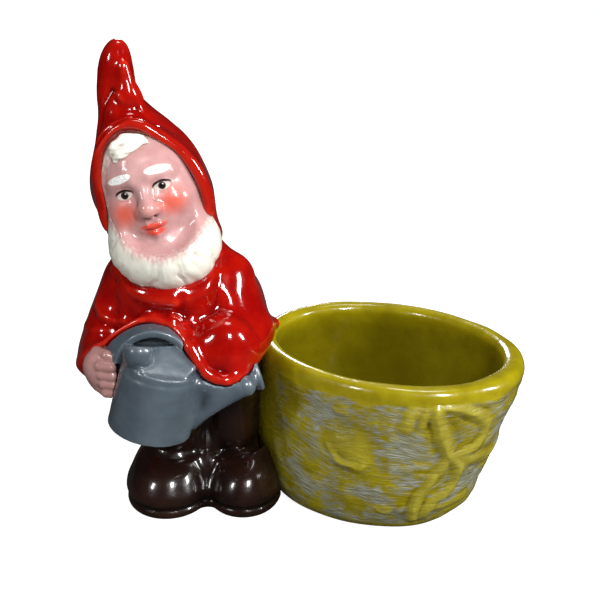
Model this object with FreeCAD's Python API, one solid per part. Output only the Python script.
"""Garden gnome planter in glazed earthenware: a hooded figure with a watering can, luted to a bark bowl.

The object is slip-cast in sections that are stuck together with slip before firing. Each section is one
piece here: hollow, WALL thick, and cut to meet its neighbours face to face. Units are millimetres, +Z is up
and the figure faces -Y. Pieces are modelled round the figure's own place, then moved so that the origin is
the middle of the footprint, on the ground.
"""
import FreeCAD, Part
import math
import os

V = FreeCAD.Vector
X_AXIS, Y_AXIS, Z_AXIS = V(1, 0, 0), V(0, 1, 0), V(0, 0, 1)

# Driving dimensions
HEIGHT = 250.0            # ground to the tip of the hood
WALL = 4.5                # cast wall of the figure
CAN_WALL = 3.0            # cast wall of the watering can
BOOT_TOP = 31.0           # where the trousers start
HEM = 78.0                # underside of the coat
NECK = 146.0              # joint between coat and hood
HEAD_LEAN = 16.0          # degrees, the head tips to the figure's right
CAN_LEAN = 12.0           # degrees, the can tips towards its spout
VENT_R = 4.0              # vent holes that let the hollow sections breathe in the kiln

# Places and half-sizes of the figure
FIGURE_X = -66.0
HEAD = V(-76.0, -9.0, 180.0)
HEAD_HALF = V(25.0, 26.0, 29.5)
OPENING_Y = -19.0                       # plane of the hood's brim
BRIM_R = 3.4
OPENING_OUTLINE = [                     # across and up, in the head's own directions
    (0.0, 31.0), (-10.0, 29.0), (-18.0, 17.5), (-21.5, 2.0), (-23.0, -14.0), (-15.5, -28.0),
    (0.0, -33.5), (15.5, -30.0), (23.5, -18.0), (24.5, -5.0), (21.0, 8.5), (11.5, 22.5),
]
BOOTS = {"right": (-72.6, 22.8, -38.5, 27.0), "left": (-31.0, 20.2, -37.0, 25.0)}
LEGS = {"right": (-69.0, 0.0, 17.6, 20.0), "left": (-37.6, 2.0, 13.6, 18.0)}

# Watering can
CAN = V(-77.7, -45.5, 60.0)             # middle of its base
CAN_BASE_R, CAN_RIM_R, CAN_TALL = 21.5, 20.0, 32.0
COVER_TALL, FILLER_TALL = 14.0, 11.0
COVER_SLOPE = 19.0                      # degrees, down towards the spout
FILLER_FROM, SLIT = -13.0, 1.6          # left end of the filler, and the gap beside the cover
HANDLE_BACK, HANDLE_BACK_R = V(-75.7, -36.5, 88.0), 25.4       # the strap's rear edge
HANDLE_FRONT, HANDLE_FRONT_R = V(-73.6, -45.0, 93.2), 19.4     # its front edge
HANDLE_THICK = 2.6
HANDLE_END = 96.0                       # level of its lower ends
SPOUT_ROOT = V(-60.0, -44.5, 75.5)
SPOUT_DOWN, SPOUT_BACK = 74.0, 14.0     # degrees from upright, and turned towards the bowl
SPOUT_LENGTH = 33.0

# Bowl
BOWL_HEIGHT = 87.0
BOWL_SKEW = -0.22                       # the oval is skewed, its left end further back
BOWL_FLOOR = 7.0
BOWL_WALL = 8.0
FOOT_RECESS, FOOT_RING = 1.5, 9.0

RING_POINTS = 16


def ring(x, y, z, half_width, half_depth, egg=0.0, skew=0.0):
    """A smooth closed level outline; egg narrows its back, skew moves its left end back."""
    points = []
    for i in range(RING_POINTS):
        a = 2 * math.pi * i / RING_POINTS
        across = half_width * math.cos(a) * (1 - egg * math.sin(a))
        points.append(V(x + across, y + half_depth * math.sin(a) + skew * across, z))
    curve = Part.BSplineCurve()
    curve.interpolate(points, PeriodicFlag=True)
    return Part.Wire(curve.toShape())


def stack(rows, inset=0.0, egg=0.0, skew=0.0):
    """A solid lofted through rows of (x, y, z, half width, half depth), each drawn in by inset."""
    rings = [ring(x, y, z, max(w - inset, 0.6), max(d - inset, 0.6), egg, skew) for x, y, z, w, d in rows]
    return Part.makeLoft(rings, True, False)


def stretched(rows, below=0.0, above=0.0):
    """The same rows with a copy of the first one lower and of the last one higher."""
    x0, y0, z0, w0, d0 = rows[0]
    x1, y1, z1, w1, d1 = rows[-1]
    low = [(x0, y0, z0 - below, w0, d0)] if below else []
    high = [(x1, y1, z1 + above, w1, d1)] if above else []
    return low + rows + high


def ellipsoid(centre, half_x, half_y, half_z, lean=0.0):
    """An ellipsoid; lean tips its top towards -X, in degrees."""
    scale = FreeCAD.Matrix()
    scale.scale(half_x, half_y, half_z)
    shape = Part.makeSphere(1.0).transformGeometry(scale)
    shape.rotate(V(), Y_AXIS, -lean)
    shape.translate(centre)
    return shape


def largest(shape):
    """The biggest solid of a shape, without crumbs left by a cut."""
    return max(shape.Solids, key=lambda s: s.Volume)


def cut(shape, *tools):
    """shape less every tool, as one solid."""
    for tool in tools:
        shape = shape.cut(tool)
    return largest(shape)


# ---------------------------------------------------------------- bowl

BOWL_ROWS = [
    (36.4, 4.8, 0.0, 50.8, 47.4),
    (36.5, 4.7, 4.0, 55.2, 52.0),
    (36.9, 4.6, 10.0, 58.4, 55.3),
    (38.1, 4.5, 21.0, 61.8, 58.4),
    (39.7, 4.3, 34.0, 65.0, 60.7),
    (42.0, 4.1, 47.0, 66.9, 61.9),
    (44.4, 4.0, 60.0, 68.2, 62.6),
    (46.7, 4.0, 71.0, 69.6, 63.3),
    (48.2, 4.0, 79.0, 70.6, 63.4),
    (49.0, 4.0, 84.0, 70.4, 62.8),
    (49.0, 4.0, 86.3, 68.8, 61.2),
    (49.0, 4.0, BOWL_HEIGHT, 66.4, 58.8),
]
MOUTH_X, MOUTH_Y = 47.6, 5.2


def bowl_form(growth=0.0):
    """The bowl's outer form without its hollow."""
    return stack(BOWL_ROWS, inset=-growth, skew=BOWL_SKEW)


def bowl():
    """The bark bowl: thick rounded lip, hollow with a level floor, and a recess under the foot."""
    mouth = [
        (MOUTH_X, MOUTH_Y, BOWL_HEIGHT - 7.0, 60.6, 53.0),
        (MOUTH_X, MOUTH_Y, BOWL_HEIGHT - 2.5, 60.8, 53.2),
        (MOUTH_X, MOUTH_Y, BOWL_HEIGHT, 63.8, 56.4),
        (MOUTH_X, MOUTH_Y, BOWL_HEIGHT + 3.0, 66.0, 58.6),
    ]
    side = [(x, y, z, w - BOWL_WALL, d - BOWL_WALL) for x, y, z, w, d in BOWL_ROWS if 20.0 < z < 65.0]
    x, y, z, w, d = BOWL_ROWS[0]
    floor = [(x, y, BOWL_FLOOR, w - BOWL_WALL, d - BOWL_WALL), (x, y, BOWL_FLOOR + 5.0, w - 3.0, d - 3.0)]
    hollow = stack(floor + side + mouth, skew=BOWL_SKEW)
    recess = [(x, y, -1.0, w, d), (x, y, FOOT_RECESS, w, d)]
    return cut(bowl_form(), hollow, stack(recess, inset=FOOT_RING, skew=BOWL_SKEW))


# ---------------------------------------------------------------- boots and legs

def boot(x, half_width, toe_y, heel_y):
    """A round-toed boot on a thick sole: its outer form, its hollow, and the vent in the sole."""
    y, half_depth = (toe_y + heel_y) / 2, (heel_y - toe_y) / 2
    rows = [
        (x, y, 0.0, half_width - 0.8, half_depth - 0.8),
        (x, y, 1.6, half_width - 0.1, half_depth - 0.1),
        (x, y, 4.6, half_width - 0.2, half_depth - 0.2),
        (x, y, 5.8, half_width - 1.4, half_depth - 1.4),
        (x, y, 7.4, half_width - 0.2, half_depth - 0.2),
        (x, y + 0.3, 14.0, half_width, half_depth - 0.2),
        (x + 0.6, y + 1.8, 21.0, half_width - 2.4, half_depth - 3.0),
        (x + 1.4, y + 4.5, 26.5, half_width - 5.0, half_depth - 8.0),
        (x + 2.0, y + 6.5, BOOT_TOP, half_width - 7.0, half_depth - 13.0),
    ]
    inside = [(x, y, 5.0, half_width - 3.0, half_depth - 3.0)] + rows[4:]
    hollow = stack(stretched(inside, above=2.0), inset=WALL, egg=0.12)
    vent = Part.makeCylinder(VENT_R, 12.0, V(x, y + 4.0, -2.0))
    return stack(rows, egg=0.12), hollow, vent


def leg_rows(x, y, half_width, half_depth):
    """Trouser leg that puffs out over the boot and runs up to the coat."""
    return [
        (x, y, BOOT_TOP, half_width - 3.0, half_depth - 3.0),
        (x, y, BOOT_TOP + 3.5, half_width - 0.4, half_depth - 0.6),
        (x, y, 44.0, half_width, half_depth),
        (x, y, 60.0, half_width - 0.3, half_depth - 0.3),
        (x, y, HEM, half_width - 0.8, half_depth - 0.8),
    ]


# ---------------------------------------------------------------- coat and sleeves

COAT_ROWS = [
    (FIGURE_X, 0.5, HEM, 44.5, 34.5),
    (FIGURE_X, 0.0, 90.0, 44.5, 35.5),
    (FIGURE_X, 0.0, 102.0, 43.0, 35.5),
    (FIGURE_X, 0.0, 115.0, 39.5, 34.0),
    (FIGURE_X - 0.5, 0.0, 128.0, 35.5, 31.5),
    (FIGURE_X - 2.0, 0.5, 138.0, 30.5, 28.5),
    (FIGURE_X - 2.8, 1.0, NECK, 27.2, 27.0),
]
ARCH = V(-71.5, -40.0, 84.0)              # middle of the arch that the hem makes over the can
ARCH_HALF_WIDTH, ARCH_HEIGHT, ARCH_DEPTH = 25.0, 28.6, 39.0


def hem_arch():
    """A block shaped like the opening that the front hem leaves over the watering can."""
    arch = ellipsoid(ARCH, ARCH_HALF_WIDTH, ARCH_DEPTH, ARCH_HEIGHT)
    below = Part.makeBox(2 * ARCH_HALF_WIDTH, ARCH_DEPTH, 20.0, ARCH - V(ARCH_HALF_WIDTH, 20.0, 20.0))
    return arch.fuse(below)


RIGHT_SLEEVE_ROWS = [
    (-90.5, -1.0, 137.0, 5.0, 8.0),
    (-91.0, -2.0, 131.0, 10.0, 14.0),
    (-94.0, -3.0, 121.0, 12.5, 18.0),
    (-98.0, -5.0, 110.0, 13.6, 21.0),
    (-101.8, -8.0, 98.0, 14.2, 23.0),
    (-104.8, -9.0, 87.0, 14.0, 22.0),
    (-107.0, -9.0, 79.0, 11.0, 18.0),
    (-108.5, -8.0, 75.5, 6.0, 11.0),
]

LEFT_SLEEVE_ROWS = [
    (-42.5, -1.0, 141.5, 4.5, 8.0),
    (-41.0, -2.0, 136.0, 9.5, 14.0),
    (-38.0, -4.0, 126.0, 13.5, 19.0),
    (-35.0, -7.0, 114.0, 16.0, 23.5),
    (-33.8, -11.0, 103.0, 18.8, 27.5),
    (-33.8, -16.0, 95.0, 17.0, 27.0),
    (-34.0, -23.0, 87.5, 12.5, 19.5),
    (-34.5, -30.0, 81.0, 6.0, 10.0),
]


CORNER_ROOT, CORNER_TIP = V(-35.0, -5.0, 104.5), V(-12.6, 0.5, 97.0)
CORNER_R = 11.0


def left_sleeve_form():
    """The loose left sleeve with the pointed corner that hangs over the bowl's lip."""
    way = CORNER_TIP - CORNER_ROOT
    corner = Part.makeCone(CORNER_R, 1.2, way.Length, CORNER_ROOT, way)
    return stack(LEFT_SLEEVE_ROWS).fuse(corner)


def sleeve(form, rows, *neighbours):
    """A loose sleeve against the coat, hollow on the side that it is stuck on."""
    return cut(form, stack(rows[1:-1], inset=WALL), *neighbours)


# ---------------------------------------------------------------- head, hood, beard

HOOD_ROWS = [
    (FIGURE_X - 2.8, 1.0, NECK, 27.2, 27.0),
    (-71.0, 1.0, 154.0, 29.0, 28.5),
    (-74.7, 0.5, 165.0, 30.8, 31.0),
    (-76.7, 0.0, 176.0, 31.3, 31.5),
    (-78.2, 0.5, 187.0, 28.8, 29.5),
    (-80.2, 2.0, 198.0, 24.3, 26.0),
    (-84.8, 4.0, 208.0, 18.2, 20.5),
    (-89.6, 5.5, 216.0, 13.0, 15.0),
    (-92.6, 6.5, 222.5, 10.4, 11.0),
    (-93.1, 7.0, 230.0, 9.4, 9.5),
    (-93.0, 7.0, 238.0, 8.4, 8.5),
    (-92.4, 7.0, 244.5, 6.5, 6.7),
    (-92.0, 7.0, 248.4, 3.9, 4.0),
    (-91.8, 7.0, HEIGHT, 1.0, 1.0),
]
PEAK = 205.0                              # level where the hood's own hollow peak starts


def on_head(across, up, out=0.0):
    """A point given in the head's own tipped directions, measured from its middle."""
    lean = math.radians(HEAD_LEAN)
    return V(HEAD.x + across * math.cos(lean) - up * math.sin(lean), HEAD.y - out,
             HEAD.z + up * math.cos(lean) + across * math.sin(lean))


def head_form(inset=0.0):
    """Skull, forehead and broad jaw, tipped by HEAD_LEAN."""
    skull = ellipsoid(HEAD, HEAD_HALF.x - inset, HEAD_HALF.y - inset, HEAD_HALF.z - inset, HEAD_LEAN)
    forehead = ellipsoid(on_head(-3.0, 8.0, 1.0), 18.5 - inset, 22.5 - inset, 21.5 - inset, HEAD_LEAN)
    jaw = ellipsoid(on_head(1.5, -12.0, 4.0), 23.5 - inset, 20.5 - inset, 20.5 - inset, HEAD_LEAN)
    return skull.fuse([forehead, jaw])


def face_relief():
    """Nose, brow and cheeks of a calm, stylised doll's face."""
    nose = ellipsoid(on_head(0, -3.0, HEAD_HALF.y + 1.5), 4.4, 5.5, 6.5, HEAD_LEAN)
    brow = ellipsoid(on_head(0, 9.0, HEAD_HALF.y - 10.0), 18.0, 10.5, 8.0, HEAD_LEAN)
    cheeks = [ellipsoid(on_head(side * 11.0, -9.0, HEAD_HALF.y - 9.5), 8.5, 10.0, 8.0, HEAD_LEAN)
              for side in (-1, 1)]
    return [nose, brow] + cheeks


def opening_outline(growth=0.0):
    """The egg-shaped outline of the hood's opening, in the brim's plane."""
    points = []
    for across, up in OPENING_OUTLINE:
        share = 1 + growth / math.hypot(across, up)
        points.append(on_head(across * share, up * share, HEAD.y - OPENING_Y))
    curve = Part.BSplineCurve()
    curve.interpolate(points, PeriodicFlag=True)
    return curve


def opening(y, deep, growth=0.0):
    """The hood's opening as a block from y towards -Y."""
    face = Part.Face(Part.Wire(opening_outline(growth).toShape()))
    face.translate(V(0, y - OPENING_Y, 0))
    return face.extrude(V(0, -deep, 0))


def brim():
    """The rolled edge round the opening."""
    curve = opening_outline(BRIM_R - 1.0)
    section = Part.Wire(Part.makeCircle(BRIM_R, curve.value(0), curve.tangent(0)[0]))
    return Part.Wire(curve.toShape()).makePipeShell([section], True, False)


def beard_form():
    """A full chin beard, rising at both sides to the ears; the face stands free of it."""
    mass = ellipsoid(V(-68.8, -19.0, 151.5), 29.0, 25.5, 24.5)
    face = ellipsoid(V(-70.0, -47.0, 180.0), 27.0, 31.0, 29.0)
    return cut(mass, face)


# ---------------------------------------------------------------- watering can

def can_placed(shape):
    """Moves a piece from the can's own frame, base at the origin, to the figure's front."""
    shape = shape.copy()
    shape.rotate(V(), Y_AXIS, CAN_LEAN)
    shape.translate(CAN)
    return shape


def can_body_form(inset=0.0):
    tall = CAN_TALL - inset + (1.0 if inset else 0.0)
    return can_placed(Part.makeCone(CAN_BASE_R - inset, CAN_RIM_R - inset, tall, V(0, 0, inset)))


def can_cover_form():
    """Half cover over the rim, a ridge at its filler end and a slope down to the spout."""
    dome = Part.makeCone(CAN_RIM_R, CAN_RIM_R - 2.5, COVER_TALL, V(0, 0, CAN_TALL))
    slope = Part.makeBox(80, 80, 40, V(0, -40, 0))
    slope.rotate(V(), Y_AXIS, COVER_SLOPE)
    slope.translate(V(0, 0, CAN_TALL + COVER_TALL - 2.0))
    filler_side = Part.makeBox(40, 80, 30, V(-40, -40, CAN_TALL - 1))
    return can_placed(cut(dome, slope, filler_side))


def can_filler_form():
    """Raised mouth beside the cover, where the can is filled, with a slit towards the cover."""
    block = Part.makeCone(CAN_RIM_R - 1.0, CAN_RIM_R - 3.0, FILLER_TALL, V(0, 0, CAN_TALL))
    keep = Part.makeBox(-FILLER_FROM, 30.0, FILLER_TALL, V(FILLER_FROM, -20.0, CAN_TALL))
    mouth = Part.makeBox(5.0, 8.0, 6.0, V(FILLER_FROM + 3.0, -10.0, CAN_TALL + FILLER_TALL - 4.0))
    slit = Part.makeBox(SLIT, 40.0, FILLER_TALL, V(-SLIT, -20.0, CAN_TALL + 3.0))
    return can_placed(cut(largest(block.common(keep)), mouth, slit))


def can_handle_form():
    """Broad strap arched over the can, its face turned up and forward, its left end on the fist."""
    def band_edge(middle, radius):
        return Part.Wire(Part.makeCircle(radius, middle, Y_AXIS))

    outer = Part.makeLoft([band_edge(HANDLE_BACK, HANDLE_BACK_R), band_edge(HANDLE_FRONT, HANDLE_FRONT_R)], True)
    ahead = HANDLE_FRONT - HANDLE_BACK
    inner = Part.makeLoft([band_edge(HANDLE_BACK - ahead * 0.2, HANDLE_BACK_R - HANDLE_THICK - 0.6),
                           band_edge(HANDLE_FRONT + ahead * 0.2, HANDLE_FRONT_R - HANDLE_THICK - 0.6)], True)
    below = Part.makeBox(120, 60, 80, V(HANDLE_BACK.x - 60, HANDLE_BACK.y - 40, HANDLE_END - 80))
    return cut(outer, inner, below)


def along_spout(shape):
    """Moves a shape that stands on the origin so that it runs out along the spout."""
    shape.rotate(V(), Y_AXIS, SPOUT_DOWN)
    shape.rotate(V(), Z_AXIS, SPOUT_BACK)
    shape.translate(SPOUT_ROOT)
    return shape


def can_spout_form():
    """Deep flat root on the can's side, drawn out to a round neck at the rose."""
    rows = [(4.5, 0, 0.0, 14.0, 8.0), (2.5, 0, 9.0, 11.0, 7.5), (0.5, 0, 20.0, 8.0, 6.6),
            (0.0, 0, SPOUT_LENGTH, 6.0, 5.8)]
    return along_spout(stack(rows))


def can_rose_form():
    """Flared rose at the end of the spout."""
    flare, lip = 9.0, 1.6
    cone = Part.makeCone(5.4, 10.4, flare, V(0, 0, SPOUT_LENGTH - 2.0))
    edge = Part.makeCone(10.4, 9.2, lip, V(0, 0, SPOUT_LENGTH - 2.0 + flare))
    return along_spout(cone.fuse(edge))


# ---------------------------------------------------------------- hand and forelock

def hand_form():
    """Fist under the handle's end: palm, four fingers and a thumb."""
    palm = ellipsoid(V(-101.0, -32.0, 85.5), 9.5, 10.0, 11.5, 8.0)
    fingers = [ellipsoid(V(-97.5 + 0.8 * i, -41.0, 91.5 - 4.8 * i), 7.0, 5.0, 3.0, -8.0) for i in range(4)]
    thumb = ellipsoid(V(-99.5, -33.0, 95.0), 6.5, 5.5, 3.6, -10.0)
    return palm.fuse(fingers + [thumb])


def forelock_form():
    """A short curl on the forehead, under the top of the brim."""
    return ellipsoid(on_head(0, 25.5, 14.5), 10.5, 6.0, 6.0, HEAD_LEAN - 10.0)


# ---------------------------------------------------------------- assembly

def build_stand(pieces, bowl_space):
    """Boots and trouser legs; returns the filled legs for cutting their neighbours."""
    first_boot, first_leg = [], []
    for side in ("right", "left"):
        outer, hollow, vent = boot(*BOOTS[side])
        pieces["boot_" + side] = cut(outer, hollow, vent, bowl_space, *first_boot)
        first_boot.append(outer)
        rows = leg_rows(*LEGS[side])
        leg = stack(rows)
        bore = stack(stretched(rows, below=3.0, above=3.0), inset=WALL)
        pieces["trouser_leg_" + side] = cut(leg, bore, bowl_space, *first_leg)
        first_leg.append(leg)
    return first_leg


def leg_passages():
    """Holes in the coat's floor that join its hollow to the legs."""
    return [stack(stretched(leg_rows(*LEGS[side])[-2:], above=8.0), inset=WALL) for side in ("right", "left")]


def coat_hollow():
    """The inside of the coat, above a floor WALL thick."""
    inside = stack(stretched(COAT_ROWS[1:], above=3.0), inset=WALL)
    floor = Part.makeBox(200, 200, 40, V(-180, -100, HEM + WALL - 40))
    return largest(inside.cut(floor))


def build():
    """Every piece by name, each cut where it meets a neighbour."""
    pieces = {"planter_bowl": bowl()}
    bowl_space = bowl_form(growth=0.05)
    legs = build_stand(pieces, bowl_space)

    coat, coat_inside, arch = stack(COAT_ROWS), coat_hollow(), hem_arch()
    head_outer, beard_outer = head_form().fuse(face_relief()), beard_form()
    pieces["coat"] = cut(coat, coat_inside, arch, head_outer, beard_outer, bowl_space, *leg_passages())
    web = stack(COAT_ROWS, inset=1.2)
    pieces["can_web"] = cut(largest(web.common(arch)), coat_inside, *leg_passages())

    cuff = ellipsoid(V(-100.0, -36.0, 84.0), 12.5, 15.0, 14.5)
    right, left = stack(RIGHT_SLEEVE_ROWS), left_sleeve_form()
    pieces["sleeve_right"] = sleeve(right, RIGHT_SLEEVE_ROWS, coat, cuff)
    pieces["sleeve_left"] = sleeve(left, LEFT_SLEEVE_ROWS, coat, bowl_space, *legs)
    figure = [coat, right.cut(cuff), left] + legs

    can, cover, filler, handle = can_body_form(), can_cover_form(), can_filler_form(), can_handle_form()
    spout, rose = can_spout_form(), can_rose_form()
    pieces["can_body"] = cut(can, can_body_form(CAN_WALL), *figure)
    pieces["can_cover"] = cut(cover, can, *figure)
    pieces["can_filler"] = cut(filler, can, cover, *figure)
    pieces["can_handle"] = cut(handle, can, cover, filler, *figure)
    pieces["can_spout"] = cut(spout, can, cover, rose, bowl_space, *figure)
    pieces["can_rose"] = cut(rose, bowl_space, *figure)
    pieces["hand_right"] = cut(hand_form(), can, cover, filler, handle, *figure)

    neck_hole = Part.makeCylinder(12.0, 40.0, V(HEAD.x + 5.0, HEAD.y + 7.0, NECK - 16.0))
    crown_vent = Part.makeCylinder(VENT_R, 30.0, V(HEAD.x - 9.0, HEAD.y + 4.0, HEAD.z + 14.0))
    peak = [row for row in HOOD_ROWS if PEAK < row[2] < HEIGHT - 8.0]
    window = opening(OPENING_Y, 60.0)
    pieces["head"] = cut(head_outer, head_form(WALL), neck_hole, crown_vent, coat)
    collar = opening(-2.0, -2.0 - OPENING_Y, growth=BRIM_R + 0.8)
    hood = largest(stack(HOOD_ROWS).fuse([collar, brim()]))
    pieces["hood"] = cut(hood, stack(stretched(peak, below=6.0), inset=WALL), window, head_outer, beard_outer, coat)
    pieces["beard"] = cut(beard_outer, head_outer)
    pieces["forelock"] = cut(forelock_form(), head_outer, pieces["hood"])
    return pieces


def centred(pieces):
    """Moves every piece so that the middle of the whole footprint is at the origin."""
    whole = Part.makeCompound(list(pieces.values())).optimalBoundingBox(False)
    shift = V(-(whole.XMin + whole.XMax) / 2, -(whole.YMin + whole.YMax) / 2, 0)
    for shape in pieces.values():
        shape.translate(shift)
    print("moved by %.3f, %.3f mm" % (shift.x, shift.y))
    print("size %.2f x %.2f x %.2f mm" % (whole.XLength, whole.YLength, whole.ZLength))


def main():
    os.makedirs("parts", exist_ok=True)
    pieces = build()
    centred(pieces)
    for name, shape in sorted(pieces.items()):
        print("%-20s valid %s solids %d volume %.0f mm3" % (name, shape.isValid(), len(shape.Solids), shape.Volume))
        shape.exportStep(os.path.join("parts", name + ".step"))


main()
